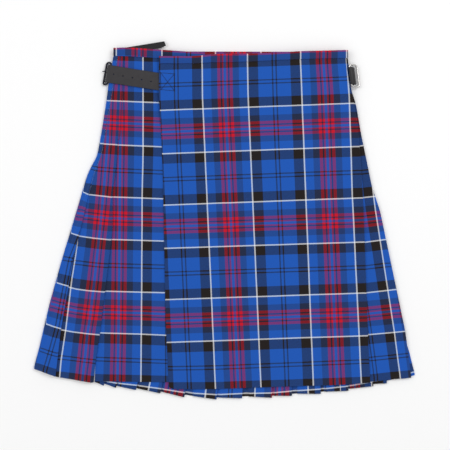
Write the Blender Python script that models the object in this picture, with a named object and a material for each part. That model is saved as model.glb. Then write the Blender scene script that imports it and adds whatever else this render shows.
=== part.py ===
"""A pleated kilt laid flat on its back, with the over apron up.

X runs to the viewer's right, Y up towards the waist, Z up from the surface that the kilt lies on.
Sizes are in millimetres until a mesh is made. A "drop" is a distance down from the waist line.
A "station" is a part of the way from the waistband to the hem, from 0 to 1.
"""

import math

import bmesh
import bpy
from mathutils import Vector

MM = 0.001

# Driving dimensions
CLOTH = 1.0
GAP = 0.3
COLUMN_STEP = 36
LEVEL = CLOTH + GAP
WAIST_Y = 305.4
WAIST_OPENING = 3.3
OPENING_FULL_DROP = 40.0
OPENING_END_DROP = 130.0
STRAP_WIDTH = 31.6
STRAP_THICKNESS = 2.4
STRAP_START = {"x": -118.6, "drop": 57.0}
STRAP_END = {"x": -209.7, "drop": 42.9}
HOLE_COUNT = 5
FIRST_HOLE_X = -131.6
HOLE_PITCH = 16.7
HOLE_RADIUS = 1.3
TAB_WIDTH = 31.0
BUCKLE_BAR = 1.7
PRONG_RADIUS = 0.9
PRONG_DROP = 38.2
SHARP_EDGE = math.radians(40)

# Heights of the middle of the cloth, layer by layer from the surface that it lies on
OUTER_Z = CLOTH / 2
MIDDLE_Z = OUTER_Z + LEVEL
INNER_Z = MIDDLE_Z + LEVEL
FRONT_Z = INNER_Z + LEVEL
FRONT_2_Z = FRONT_Z + LEVEL

# The side outlines: drop from the waist, and place across
LEFT_OUTLINE = [
    {"drop": 14, "x": -200}, {"drop": 61, "x": -208.5}, {"drop": 91, "x": -213},
    {"drop": 143, "x": -221.6}, {"drop": 183, "x": -229.3}, {"drop": 201, "x": -239.5},
    {"drop": 219, "x": -247.6}, {"drop": 253, "x": -257.6}, {"drop": 305, "x": -273.2},
    {"drop": 371, "x": -293.3}, {"drop": 448, "x": -314}, {"drop": 534, "x": -333.5},
    {"drop": 572, "x": -343.6},
]
RIGHT_OUTLINE = [
    {"drop": 14, "x": 221.5}, {"drop": 68, "x": 227}, {"drop": 95, "x": 236.3},
    {"drop": 147, "x": 245.2}, {"drop": 188, "x": 253.9}, {"drop": 240, "x": 264.6},
    {"drop": 287, "x": 279.9}, {"drop": 504, "x": 325}, {"drop": 588, "x": 335.8},
]
RIGHT_UNDER_PLEAT = [
    {"drop": 14, "x": 216}, {"drop": 147, "x": 239}, {"drop": 287, "x": 274},
    {"drop": 480, "x": 315}, {"drop": 538, "x": 332.5}, {"drop": 583, "x": 342.7},
]

# Pleat folds and the free edge that show on the front: drop, and place across
FOLD_B = [
    {"drop": 14, "x": -191.5}, {"drop": 183, "x": -221.5}, {"drop": 225, "x": -238},
    {"drop": 270, "x": -247}, {"drop": 330, "x": -261.5}, {"drop": 362, "x": -269.5},
    {"drop": 500, "x": -293.8}, {"drop": 590, "x": -304},
]
FOLD_A = [
    {"drop": 14, "x": -185.5}, {"drop": 80, "x": -188}, {"drop": 150, "x": -190.5},
    {"drop": 205, "x": -194}, {"drop": 260, "x": -201}, {"drop": 323, "x": -201},
    {"drop": 508, "x": -223.5}, {"drop": 556, "x": -231}, {"drop": 600, "x": -235.5},
]
FOLD_C = [
    {"drop": 14, "x": 217.5}, {"drop": 30, "x": 218.8}, {"drop": 62, "x": 223}, {"drop": 95, "x": 231.5},
    {"drop": 130, "x": 238}, {"drop": 190, "x": 243.5}, {"drop": 278, "x": 248.6},
    {"drop": 511, "x": 257}, {"drop": 595, "x": 261},
]
APRON_EDGE = [
    {"drop": 8, "x": -116.8}, {"drop": 80, "x": -117.7}, {"drop": 138, "x": -113.6},
    {"drop": 233, "x": -110.3}, {"drop": 466, "x": -106}, {"drop": 590, "x": -101},
    {"drop": 604, "x": -99},
]

# Hems: place across, and drop
FRONT_HEM = [
    {"x": -346, "drop": 571}, {"x": -324, "drop": 578.5}, {"x": -300, "drop": 587},
    {"x": -274, "drop": 591}, {"x": -238, "drop": 597}, {"x": -232, "drop": 594.5},
    {"x": -110, "drop": 596}, {"x": 200, "drop": 592}, {"x": 262, "drop": 595.5},
    {"x": 300, "drop": 591}, {"x": 337, "drop": 588},
]
APRON_HEM = [
    {"x": -100, "drop": 604}, {"x": -95, "drop": 607.5}, {"x": -88, "drop": 608.5},
    {"x": -15, "drop": 608}, {"x": 82, "drop": 604.5}, {"x": 146, "drop": 602.5},
    {"x": 207, "drop": 600.5}, {"x": 262, "drop": 596.5},
]
BACK_HEM = [
    {"x": -346, "drop": 571}, {"x": -322, "drop": 575}, {"x": -295, "drop": 583},
    {"x": -259, "drop": 588}, {"x": -234, "drop": 594}, {"x": -218, "drop": 600},
    {"x": -196, "drop": 604}, {"x": -160, "drop": 608}, {"x": -116, "drop": 614},
    {"x": -73, "drop": 621}, {"x": -15, "drop": 625}, {"x": 31, "drop": 623},
    {"x": 85, "drop": 622}, {"x": 121, "drop": 618.5}, {"x": 173, "drop": 615},
    {"x": 223, "drop": 609.5}, {"x": 268, "drop": 601}, {"x": 292, "drop": 596},
    {"x": 335, "drop": 587}, {"x": 343, "drop": 583},
]

# Waistbands: place across, drop of the top edge and of the lower edge
BACK_WAIST = [{"x": -200, "top": 1.5, "low": 14}, {"x": 222, "top": 2.5, "low": 14}]
UNDER_WAIST = [
    {"x": -200, "top": -3.6, "low": 10.8}, {"x": -175, "top": -4.6, "low": 11.3},
    {"x": -116, "top": -0.5, "low": 14.4}, {"x": -15, "top": 6.5, "low": 20},
    {"x": 190, "top": 4, "low": 18},
]
OVER_WAIST = [
    {"x": -117, "top": 11.7, "low": 25}, {"x": -58, "top": 12, "low": 25},
    {"x": -15, "top": 7.7, "low": 22.5}, {"x": 45, "top": 7.2, "low": 21.5},
    {"x": 90, "top": 5.4, "low": 19}, {"x": 135, "top": 2.7, "low": 17},
    {"x": 221.5, "top": 0.5, "low": 14.9},
]

# Back pleats: the place across of each one's inner fold at the hem, and sizes that they share
BACK_FOLDS_AT_HEM = [
    -316, -290, -262, -218, -196, -160, -116, -73, -15, 31, 85, 121, 173, 223, 268, 292,
]
RAMP = 4.2
RAMP_CLEARANCE = 1.2
PLEAT_CLEARANCE = 7.5
PLEAT_DEPTH_LIMIT = 38
HEM_STEP = 4.5

# Hip pleats: columns of each fold, half widths while it is flat and upright, and the run back down
FOLD_COLUMNS = 8
FLAT_HALF = 1.5
UPRIGHT_HALF = 0.8
STEP_START = 2.5
STEP_END = 8

# Buckles: the (x, z) places of each frame's inner and outer bar, its drop, length, corner radius,
# and its lean, which is how far it goes across for each millimetre down
RIGHT_BUCKLE_INNER = (-206.9, 6.0)
RIGHT_BUCKLE_OUTER = (-214.6, 3.0)
RIGHT_BUCKLE_DROP = 42.0
RIGHT_BUCKLE_LENGTH = 42.4
RIGHT_BUCKLE_CORNER = 3.4
RIGHT_LEAN = -0.18
LEFT_BUCKLE_INNER = (225.2, 9.8)
LEFT_BUCKLE_OUTER = (239.8, 4.2)
LEFT_BUCKLE_DROP = 46.6
LEFT_BUCKLE_LENGTH = 43.0
LEFT_BUCKLE_CORNER = 5.6
LEFT_LEAN = 0.133

# Stations, and where the two hip pleats change from sewn flat, to upright, to open
STATIONS = [0.0, 0.06, 0.13, 0.215, 0.255, 0.29, 0.37, 0.4, 0.44, 0.58, 0.73, 0.87, 1.0]
PLEAT_A_OPENS = {"flat": 0.215, "upright": 0.255, "open": 0.29}
PLEAT_B_OPENS = {"flat": 0.37, "upright": 0.4, "open": 0.44}


def look_up(table, key, value, column):
    """Reads one column of a table at a value of its key column, in straight runs between the rows."""
    if value <= table[0][key]:
        return table[0][column]
    for before, after in zip(table, table[1:]):
        if value <= after[key]:
            part = (value - before[key]) / (after[key] - before[key])
            return mix(before[column], after[column], part)
    return table[-1][column]


def mix(start, end, part):
    return start + (end - start) * part


def ease(value):
    """A soft step from 0 to 1."""
    value = min(max(value, 0.0), 1.0)
    return value * value * (3 - 2 * value)


def opening(drop):
    """How far the front stands off the back: the waist's opening, gone a little way down."""
    part = (drop - OPENING_FULL_DROP) / (OPENING_END_DROP - OPENING_FULL_DROP)
    return WAIST_OPENING * (1 - ease(part))


def rounded_turn(x, first, last, side, steps):
    """A fold seen from its end, from one height to another, whose outermost point is at x."""
    radius = abs(last - first) / 2
    middle = (first + last) / 2
    points = []
    for step in range(steps + 1):
        angle = math.pi * step / steps
        height = middle - (last - first) / 2 * math.cos(angle)
        points.append((x + side * radius * (math.sin(angle) - 1), height))
    return points


def wall(name, rows, thickness, sweep, material):
    """Makes a closed wall of even thickness round a grid of middle points.

    Each row is one section, and sweep is the direction from section to section.
    """
    upper = []
    lower = []
    for row in rows:
        points = [Vector(point) for point in row]
        for index, point in enumerate(points):
            before = point - points[index - 1] if index else points[1] - point
            after = points[index + 1] - point if index + 1 < len(points) else before
            normals = []
            for run in (before, after):
                across = sweep.cross(run)
                normals.append(across.normalized())
            middle = (normals[0] + normals[1]).normalized()
            reach = thickness / 2 / max(middle.dot(normals[0]), 0.6)
            upper.append((point + middle * reach) * MM)
            lower.append((point - middle * reach) * MM)
    count = len(rows[0])
    total = len(upper)
    faces = []
    for row in range(len(rows) - 1):
        for column in range(count - 1):
            corner = row * count + column
            quad = (corner, corner + 1, corner + count + 1, corner + count)
            faces.append(quad)
            faces.append(tuple(total + index for index in reversed(quad)))
    rim = list(range(count))
    rim += [row * count + count - 1 for row in range(1, len(rows))]
    rim += [(len(rows) - 1) * count + column for column in range(count - 2, -1, -1)]
    rim += [row * count for row in range(len(rows) - 2, 0, -1)]
    for index, corner in enumerate(rim):
        following = rim[(index + 1) % len(rim)]
        faces.append((following, corner, total + corner, total + following))
    mesh = bpy.data.meshes.new(name)
    mesh.from_pydata(upper + lower, [], faces)
    return finish_mesh(name, mesh, material)


def finish_mesh(name, mesh, material):
    """Turns a mesh's faces outwards, gives it its material and puts it in the scene."""
    shape = bmesh.new()
    shape.from_mesh(mesh)
    bmesh.ops.recalc_face_normals(shape, faces=shape.faces)
    if shape.calc_volume(signed=True) < 0:
        bmesh.ops.reverse_faces(shape, faces=shape.faces)
    for edge in shape.edges:
        edge.smooth = edge.calc_face_angle(0.0) < SHARP_EDGE
    for face in shape.faces:
        face.smooth = True
    shape.to_mesh(mesh)
    shape.free()
    mesh.materials.append(material)
    piece = bpy.data.objects.new(name, mesh)
    bpy.context.scene.collection.objects.link(piece)
    return piece


def make_material(name, color, roughness, metallic=0.0):
    material = bpy.data.materials.new(name)
    material.use_nodes = True
    shader = material.node_tree.nodes["Principled BSDF"]
    shader.inputs["Base Color"].default_value = (*color, 1.0)
    shader.inputs["Roughness"].default_value = roughness
    shader.inputs["Metallic"].default_value = metallic
    return material


def place(x, drop, z):
    """A point of the part from its place across, its drop from the waist and its height."""
    return (x, WAIST_Y - drop, z)


def band_low(x, table):
    """Where the cloth starts below its waistband."""
    return look_up(table, "x", x, "low") + GAP


def fold_x(table, station, top, hem):
    return look_up(table, "drop", mix(top, hem, station), "x")


def hip_fold(x, depth, station, opens):
    """One hip pleat's fold from its lower right run to its upper left run, as (x, height over the front).

    Sewn flat it is a level line, at the end of the stitching it stands upright, and below it is folded.
    """
    flat = []
    upright = []
    for index in range(FOLD_COLUMNS):
        part = index / (FOLD_COLUMNS - 1)
        flat.append((x + mix(FLAT_HALF, -FLAT_HALF, part), 0.0))
        upright.append((x + mix(UPRIGHT_HALF, -UPRIGHT_HALF, part), 2 * LEVEL * part))
    inner = rounded_turn(x - depth, 0.0, LEVEL, -1, 3)
    outer = rounded_turn(x, LEVEL, 2 * LEVEL, 1, 3)
    folded = inner + outer
    if station <= opens["flat"]:
        return flat
    if station <= opens["upright"]:
        part = (station - opens["flat"]) / (opens["upright"] - opens["flat"])
        start, end = flat, upright
    else:
        part = min((station - opens["upright"]) / (opens["open"] - opens["upright"]), 1.0)
        start, end = upright, folded
    return [(mix(a[0], b[0], part), mix(a[1], b[1], part)) for a, b in zip(start, end)]


def columns_between(first, last, table):
    """Places across from first to last: the table's own, and even steps between them."""
    stops = [first] + [row["x"] for row in table if first + 3 < row["x"] < last - 3] + [last]
    columns = [first]
    for before, after in zip(stops, stops[1:]):
        steps = math.ceil((after - before) / COLUMN_STEP)
        columns += [mix(before, after, (step + 1) / steps) for step in range(steps)]
    return columns


def depth_a(station):
    return mix(12, 24, ease((station - 0.29) / 0.5))


def depth_b(station):
    return mix(2.5, 20, (station - 0.44) / 0.56) if station > 0.44 else 2.5


def depth_c(station):
    return mix(10, 22, station)


def seam_a(station):
    """Place across of the join between the under apron and the hip pleats, hidden in pleat A."""
    first = hip_fold(fold_x(FOLD_A, station, 14, 597), depth_a(station), station, PLEAT_A_OPENS)[0][0]
    return first + 4


def back_folds(station, left, right):
    """The inner and outer fold of each back pleat at a station, from left to right."""
    count = len(BACK_FOLDS_AT_HEM)
    hem_left = LEFT_OUTLINE[-1]["x"]
    hem_width = RIGHT_OUTLINE[-1]["x"] - hem_left
    inner = []
    for index, hem_x in enumerate(BACK_FOLDS_AT_HEM):
        at_waist = (index + 1) / (count + 1.2)
        at_hem = (hem_x - hem_left) / hem_width
        inner.append(left + (right - left) * mix(at_waist, at_hem, station))
    outer = []
    for index, x in enumerate(inner):
        pitch = x - inner[index - 1] if index else x - left - 4
        outer.append(x - min(pitch - PLEAT_CLEARANCE, PLEAT_DEPTH_LIMIT))
    return inner, outer


def back_drop(x, station, part):
    """Drop of a back point; part runs from 0 at a pleat's outer fold to 1 at its inner fold."""
    hem = look_up(BACK_HEM, "x", x, "drop") + HEM_STEP * (part - 0.5)
    return mix(band_low(x, BACK_WAIST), hem, station)


def front_drop(x, station, waist=UNDER_WAIST):
    return mix(band_low(x, waist), look_up(FRONT_HEM, "x", x, "drop"), station)


def pleated_section(station):
    """One section of the pleated length, from its seam in pleat A, round the back, to under pleat C."""
    left = fold_x(LEFT_OUTLINE, station, 14, 571) + CLOTH / 2
    right = fold_x(RIGHT_OUTLINE, station, 14, 588) - CLOTH / 2
    lift = opening(mix(14, 597, station))
    front = FRONT_Z + lift
    points = []

    def add_front(x, height):
        points.append(place(x, front_drop(x, station), front + height))

    fold_a = hip_fold(fold_x(FOLD_A, station, 14, 597), depth_a(station), station, PLEAT_A_OPENS)
    fold_b = hip_fold(fold_x(FOLD_B, station, 14, 585), depth_b(station), station, PLEAT_B_OPENS)
    add_front(seam_a(station) - GAP, 0)
    for x, height in fold_a:
        add_front(x, height)
    last_a = min(x for x, height in fold_a)
    first_b = fold_b[0][0]
    add_front(max(last_a - STEP_START, mix(last_a, first_b, 0.33)), fold_a[-1][1])
    add_front(max(last_a - STEP_END, mix(last_a, first_b, 0.67)), 0)
    for x, height in fold_b:
        add_front(x, height)
    side_turn = left + (front - OUTER_Z) / 2
    add_front(max(min(x for x, height in fold_b) - 0.8, side_turn + 1.5), fold_b[-1][1])
    add_front(max(min(x for x, height in fold_b) - 4.5, side_turn + 0.5), 0)
    for x, z in rounded_turn(left, front, OUTER_Z, -1, 5):
        part = max(z - INNER_Z - LEVEL / 2, 0.0) / (front - INNER_Z - LEVEL / 2)
        points.append(place(x, mix(back_drop(x, station, 0.5), front_drop(x, station), part), z))

    inner, outer = back_folds(station, left, right)
    for inner_x, outer_x in zip(inner, outer):
        ramp_end = outer_x - RAMP_CLEARANCE
        points.append(place(ramp_end - RAMP, back_drop(outer_x, station, 0.3), OUTER_Z))
        points.append(place(ramp_end, back_drop(outer_x, station, 0.35), INNER_Z))
        for x, z in rounded_turn(inner_x, INNER_Z, MIDDLE_Z, 1, 2):
            points.append(place(x, back_drop(x, station, 1), z))
        for x, z in rounded_turn(outer_x, MIDDLE_Z, OUTER_Z, -1, 2):
            points.append(place(x, back_drop(x, station, 0), z))

    under = fold_x(RIGHT_UNDER_PLEAT, station, 14, 583) - CLOTH / 2
    tuck = mix(9, 22, station)
    for x, z in rounded_turn(under, OUTER_Z, MIDDLE_Z, 1, 2):
        points.append(place(x, back_drop(x, station, 0.5), z))
    for x, z in rounded_turn(under - tuck, MIDDLE_Z, INNER_Z, -1, 2):
        points.append(place(x, back_drop(x, station, 0.5), z))
    for x, z in rounded_turn(right, INNER_Z, front, 1, 3):
        points.append(place(x, front_drop(x, station, OVER_WAIST), z))
    x = fold_x(FOLD_C, station, 14, 595) - depth_c(station)
    points.append(place(x, front_drop(x, station, OVER_WAIST), front))
    return points


def over_lift(x, drop):
    """How far the over apron stands off the under apron: over the bands, the strap and its own fold."""
    over_band = LEVEL * (1 - ease((drop - 28) / 60))
    near_fold = LEVEL * ease((x - 130) / 80)
    over_strap = 2.9 * (1 - ease((x + 80) / 70)) * (1 - ease((drop - 95) / 55))
    slack = 0.4 * (1 - ease((drop - 130) / 60))
    return max(over_band, near_fold, over_strap) + slack


def over_apron_section(station):
    """One section of the over apron, from its free edge to the fold that lies over the side panel."""
    edge = fold_x(APRON_EDGE, station, 25, 604)
    fold = fold_x(FOLD_C, station, 15, 596)
    columns = [edge, edge + 6, edge + 14, -84, -58, -37, -15, 15, 45, 90, 135, 160, 180, 200]
    points = []

    def drop_at(x):
        return mix(band_low(x, OVER_WAIST), look_up(APRON_HEM, "x", x, "drop"), station)

    for x in columns:
        drop = drop_at(x)
        points.append(place(x, drop, FRONT_2_Z + opening(drop) + over_lift(x, drop)))
    drop = drop_at(fold)
    top = FRONT_2_Z + opening(drop) + LEVEL
    for x, z in rounded_turn(fold, top, top - LEVEL, 1, 3):
        points.append(place(x, drop_at(x), z))
    x = fold - depth_c(station) + 1
    points.append(place(x, drop_at(x), top - LEVEL))
    return points


def under_apron_section(station):
    """One section of the under apron, from its seam in pleat A to its free edge under the over apron."""
    left = seam_a(station)
    right = 190 + 8 * station
    points = []
    for x in (left, mix(left, -116, 0.5), -116, -66, -15, 45, 95, 145, right):
        drop = front_drop(x, station)
        points.append(place(x, drop, FRONT_Z + opening(mix(14, 597, station))))
    return points


def waistband(name, table, first, last, low_z, high_z, material, lift=None):
    """A strip folded over the top edge: both legs and the turn over the top, swept from side to side."""
    rows = []
    for x in columns_between(first, last, table):
        top = look_up(table, "x", x, "top")
        low = look_up(table, "x", x, "low")
        extra = lift(x, low) if lift else 0.0
        row = [place(x, low, high_z + extra)]
        for y, z in rounded_turn(-top - CLOTH / 2, high_z, low_z, 1, 4):
            row.append(place(x, -y, z + extra))
        row.append(place(x, low, low_z + extra))
        rows.append(row)
    return wall(name, rows, CLOTH, Vector((1, 0, 0)), material)


def strap_middle_drop(x):
    """Drop of the middle of the hip strap, which rises slightly on its way to the side."""
    part = (x - STRAP_END["x"]) / (STRAP_START["x"] - STRAP_END["x"])
    return mix(STRAP_END["drop"], STRAP_START["drop"], part)


def hole_drop(number):
    """Drop of a strap hole: the row of holes leans a little more than the strap."""
    middle = strap_middle_drop(FIRST_HOLE_X - HOLE_PITCH * number)
    return middle + mix(1.9, -0.7, number / (HOLE_COUNT - 1))


def hip_strap(material):
    """The strap: out from under the over apron, along the front, and round the side under the buckle."""
    cloth_top = FRONT_Z + CLOTH / 2
    route = [
        {"x": -88, "rise": 0.0}, {"x": -120, "rise": 0.0}, {"x": -150, "rise": 0.0},
        {"x": -180, "rise": 0.0}, {"x": -200, "rise": 0.0}, {"x": -204, "rise": 0.3},
        {"x": -206.9, "rise": 0.4}, {"x": -209.4, "rise": -0.5}, {"x": -210.6, "rise": -2.6},
        {"x": -211.0, "rise": -5.5},
    ]
    rows = []
    for across in (-0.5, -0.25, 0.0, 0.25, 0.5):
        row = []
        for stop in route:
            drop = strap_middle_drop(stop["x"]) - across * STRAP_WIDTH
            z = cloth_top + opening(drop) + GAP + STRAP_THICKNESS / 2 + stop["rise"]
            lean = RIGHT_LEAN * (drop - RIGHT_BUCKLE_DROP) * ease((-180 - stop["x"]) / 24)
            row.append(place(stop["x"] + lean, drop, z))
        rows.append(row)
    strap = wall("right_hip_strap", rows, STRAP_THICKNESS, Vector((0, 1, 0)), material)
    for number in range(HOLE_COUNT):
        x = FIRST_HOLE_X - HOLE_PITCH * number
        bpy.ops.mesh.primitive_cylinder_add(vertices=12, radius=HOLE_RADIUS * MM, depth=20 * MM)
        cutter = bpy.context.object
        cutter.name = f"hole_cutter_{number + 1}"
        cutter.location = Vector(place(x, hole_drop(number), cloth_top)) * MM
        cutter.hide_render = True
        cutter.display_type = "WIRE"
        hole = strap.modifiers.new(f"hole_{number + 1}", "BOOLEAN")
        hole.operation = "DIFFERENCE"
        hole.solver = "EXACT"
        hole.object = cutter
    return strap


def strap_tail(material):
    """The strap's free end, behind the front waistband and in front of the back one, with a slanted tip."""
    outline = [
        {"x": -108, "drop": -15.8}, {"x": -105, "drop": -8.1}, {"x": -114, "drop": -3.8},
        {"x": -125, "drop": -2.3}, {"x": -137, "drop": -0.6}, {"x": -150, "drop": 7.0},
        {"x": -186, "drop": 13.0}, {"x": -191, "drop": -0.5}, {"x": -176, "drop": -4.8},
    ]
    bottom = INNER_Z + CLOTH / 2 + GAP
    vertices = []
    for z in (bottom, bottom + STRAP_THICKNESS):
        vertices += [Vector(place(corner["x"], corner["drop"], z)) * MM for corner in outline]
    count = len(outline)
    faces = [tuple(range(count)), tuple(range(2 * count - 1, count - 1, -1))]
    for index in range(count):
        following = (index + 1) % count
        faces.append((index, index + count, following + count, following))
    mesh = bpy.data.meshes.new("right_hip_strap_tail")
    mesh.from_pydata(vertices, [], faces)
    return finish_mesh("right_hip_strap_tail", mesh, material)


def buckle_frame(name, inner, outer, middle_drop, length, corner, lean, material):
    """A frame of round bar: two long bars at the given (x, z) places, joined by rounded ends."""
    half = length / 2 - BUCKLE_BAR
    start = Vector((inner[0], 0, inner[1]))
    end = Vector((outer[0], 0, outer[1]))
    across = (end - start).normalized()
    depth = (end - start).length
    path = []
    corners = [
        {"y": half, "s": 0.0, "from": 180}, {"y": half, "s": depth, "from": 90},
        {"y": -half, "s": depth, "from": 0}, {"y": -half, "s": 0.0, "from": -90},
    ]
    for row in corners:
        centre_y = row["y"] - math.copysign(corner, row["y"])
        centre_s = corner if row["s"] == 0.0 else depth - corner
        for step in range(4):
            angle = math.radians(row["from"] - 90 * step / 3)
            y = centre_y + corner * math.sin(angle)
            path.append(start + across * (centre_s + corner * math.cos(angle)) + Vector((-lean * y, y, 0)))
    middle = Vector((0, WAIST_Y - middle_drop, 0))
    curve = bpy.data.curves.new(name, "CURVE")
    curve.dimensions = "3D"
    curve.bevel_depth = BUCKLE_BAR * MM
    curve.bevel_resolution = 2
    spline = curve.splines.new("POLY")
    spline.points.add(len(path) - 1)
    for point, position in zip(spline.points, path):
        point.co = (*((position + middle) * MM), 1.0)
    spline.use_cyclic_u = True
    curve.materials.append(material)
    frame = bpy.data.objects.new(name, curve)
    bpy.context.scene.collection.objects.link(frame)
    return frame


def rod(name, stops, radius, material):
    """A short round rod through a few points, with filled ends."""
    curve = bpy.data.curves.new(name, "CURVE")
    curve.dimensions = "3D"
    curve.bevel_depth = radius * MM
    curve.bevel_resolution = 2
    curve.use_fill_caps = True
    spline = curve.splines.new("POLY")
    spline.points.add(len(stops) - 1)
    for point, stop in zip(spline.points, stops):
        point.co = (*(Vector(place(*stop)) * MM), 1.0)
    curve.materials.append(material)
    piece = bpy.data.objects.new(name, curve)
    bpy.context.scene.collection.objects.link(piece)
    return piece


def left_hip_tab(material):
    """The leather tab of the left hip buckle: over its inner bar, down inside it, back to the cloth."""
    route = [
        {"x": 223.6, "z": 12.9}, {"x": 226.4, "z": 13.3}, {"x": 229.3, "z": 12.3},
        {"x": 232.2, "z": 9.8}, {"x": 233.4, "z": 6.8}, {"x": 232.2, "z": 4.1},
        {"x": 229, "z": 2.9}, {"x": 225.9, "z": 2.8},
    ]
    rows = []
    for across in (0.5, 0.0, -0.5):
        drop = LEFT_BUCKLE_DROP + across * TAB_WIDTH
        lean = LEFT_LEAN * (drop - LEFT_BUCKLE_DROP)
        rows.append([place(stop["x"] + lean, drop, stop["z"]) for stop in route])
    return wall("left_hip_tab", rows, STRAP_THICKNESS, Vector((0, 1, 0)), material)


def build():
    for leftover in list(bpy.data.objects):
        bpy.data.objects.remove(leftover, do_unlink=True)
    tartan_back = make_material("tartan_back", (0.035, 0.12, 0.42), 0.85)
    tartan_under = make_material("tartan_under", (0.04, 0.14, 0.46), 0.85)
    tartan_over = make_material("tartan_over", (0.045, 0.16, 0.5), 0.85)
    band_back = make_material("band_back", (0.06, 0.06, 0.3), 0.85)
    band_under = make_material("band_under", (0.07, 0.07, 0.33), 0.85)
    band_over = make_material("band_over", (0.08, 0.08, 0.36), 0.85)
    leather = make_material("strap_leather", (0.06, 0.055, 0.055), 0.5)
    tail_leather = make_material("tail_leather", (0.05, 0.045, 0.045), 0.5)
    tab_leather = make_material("tab_leather", (0.055, 0.05, 0.05), 0.5)
    dark_metal = make_material("dark_buckle", (0.08, 0.08, 0.085), 0.3, 1.0)
    dark_prong = make_material("dark_prong", (0.1, 0.1, 0.105), 0.3, 1.0)
    chrome = make_material("chrome_buckle", (0.7, 0.7, 0.7), 0.15, 1.0)

    along = Vector((0, 1, 0))
    wall("pleated_back", [pleated_section(station) for station in STATIONS], CLOTH, along, tartan_back)
    wall("under_apron", [under_apron_section(station) for station in STATIONS], CLOTH, along, tartan_under)
    wall("over_apron", [over_apron_section(station) for station in STATIONS], CLOTH, along, tartan_over)
    waistband("waistband_back", BACK_WAIST, -198.5, 221, OUTER_Z, INNER_Z, band_back)
    lifted = FRONT_Z + WAIST_OPENING
    waistband("waistband_under_apron", UNDER_WAIST, -199, 190, lifted, lifted + LEVEL, band_under)
    over = FRONT_2_Z + WAIST_OPENING
    waistband("waistband_over_apron", OVER_WAIST, -116.8, 221, over, over + LEVEL, band_over, over_lift)

    hip_strap(leather)
    strap_tail(tail_leather)
    buckle_frame(
        "right_hip_buckle", RIGHT_BUCKLE_INNER, RIGHT_BUCKLE_OUTER, RIGHT_BUCKLE_DROP,
        RIGHT_BUCKLE_LENGTH, RIGHT_BUCKLE_CORNER, RIGHT_LEAN, dark_metal,
    )
    prong_route = [(-213.2, 6.0), (-214.8, 6.0), (-216.6, 5.4), (-218.0, 4.3), (-218.8, 3.5)]
    prong_stops = [(x, PRONG_DROP, z) for x, z in prong_route]
    rod("right_hip_prong", prong_stops, PRONG_RADIUS, dark_prong)
    buckle_frame(
        "left_hip_buckle", LEFT_BUCKLE_INNER, LEFT_BUCKLE_OUTER, LEFT_BUCKLE_DROP,
        LEFT_BUCKLE_LENGTH, LEFT_BUCKLE_CORNER, LEFT_LEAN, chrome,
    )
    left_hip_tab(tab_leather)


build()
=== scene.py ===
# %% [markdown]
# # A tartan kilt laid flat
# The kilt lies on its pleated back with the over apron up, seen from straight above. The solid part gives
# the places of the folds, edges and hems. This script lays thin cloth on the same middle surfaces, dyes it
# with one woven pattern, and adds the strap, the buckles and the stitches.

import math

import bmesh
import bpy
import numpy as np
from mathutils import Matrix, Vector


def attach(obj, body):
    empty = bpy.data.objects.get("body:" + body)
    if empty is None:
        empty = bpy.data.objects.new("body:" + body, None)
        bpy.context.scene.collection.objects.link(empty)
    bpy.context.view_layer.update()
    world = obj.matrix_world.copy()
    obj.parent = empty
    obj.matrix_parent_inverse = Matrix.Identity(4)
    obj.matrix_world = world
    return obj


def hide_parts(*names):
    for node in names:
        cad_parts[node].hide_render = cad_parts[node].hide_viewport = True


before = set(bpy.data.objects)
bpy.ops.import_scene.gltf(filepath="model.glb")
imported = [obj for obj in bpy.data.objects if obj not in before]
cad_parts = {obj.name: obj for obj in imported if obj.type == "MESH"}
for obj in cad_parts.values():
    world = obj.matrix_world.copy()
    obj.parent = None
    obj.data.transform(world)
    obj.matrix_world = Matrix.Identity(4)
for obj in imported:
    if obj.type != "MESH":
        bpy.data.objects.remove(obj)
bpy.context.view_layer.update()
print("solid nodes:", len(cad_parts))

# %% [markdown]
# ## Places
# The photo is 450 pixels wide and shows 807 mm, so one pixel is 1.794 mm. The tables of the outline repeat
# those of the solid part, in millimetres. Threads, creases and stitches are in pixels of the photo, because
# that is how they were read, and two small functions turn them into millimetres.

# %% Sizes and outlines
MM = 0.001
PIXEL = 1.794
PHOTO_MIDDLE = 224.5
PHOTO_WAIST = 50
WAIST_Y = 305.4
CLOTH = 0.8
LEVEL = 1.3
OUTER_Z = 0.5
MIDDLE_Z = OUTER_Z + LEVEL
INNER_Z = MIDDLE_Z + LEVEL
FRONT_Z = INNER_Z + LEVEL
FRONT_2_Z = FRONT_Z + LEVEL
WAIST_OPENING = 3.3
SOLID_CLOTH = 1.0
GAP = 0.3

LEFT_OUTLINE = [
    (14, -200), (61, -208.5), (91, -213), (143, -221.6), (183, -229.3), (201, -239.5), (219, -247.6),
    (253, -257.6), (305, -273.2), (371, -293.3), (448, -314), (534, -333.5), (572, -343.6),
]
RIGHT_OUTLINE = [
    (14, 221.5), (68, 227), (95, 236.3), (147, 245.2), (188, 253.9), (240, 264.6), (287, 279.9), (504, 325),
    (588, 335.8),
]
RIGHT_UNDER_PLEAT = [(14, 216), (147, 239), (287, 274), (480, 315), (538, 332.5), (583, 342.7)]
FOLD_B = [
    (14, -191.5), (183, -221.5), (225, -238), (270, -247), (330, -261.5), (362, -269.5), (500, -293.8),
    (590, -304),
]
FOLD_A = [
    (14, -185.5), (80, -188), (150, -190.5), (205, -194), (260, -201), (323, -201), (508, -223.5),
    (556, -231), (600, -235.5),
]
FOLD_C = [
    (14, 217.5), (30, 218.8), (62, 223), (95, 231.5), (130, 238), (190, 243.5), (278, 248.6), (511, 257),
    (595, 261),
]
APRON_EDGE = [
    (8, -116.8), (80, -117.7), (138, -113.6), (233, -110.3), (466, -106), (590, -101), (604, -99),
]
FRONT_HEM = [
    (-346, 571), (-324, 578.5), (-300, 587), (-274, 591), (-238, 597), (-232, 594.5), (-110, 596), (200, 592),
    (262, 595.5), (300, 591), (337, 588),
]
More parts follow.
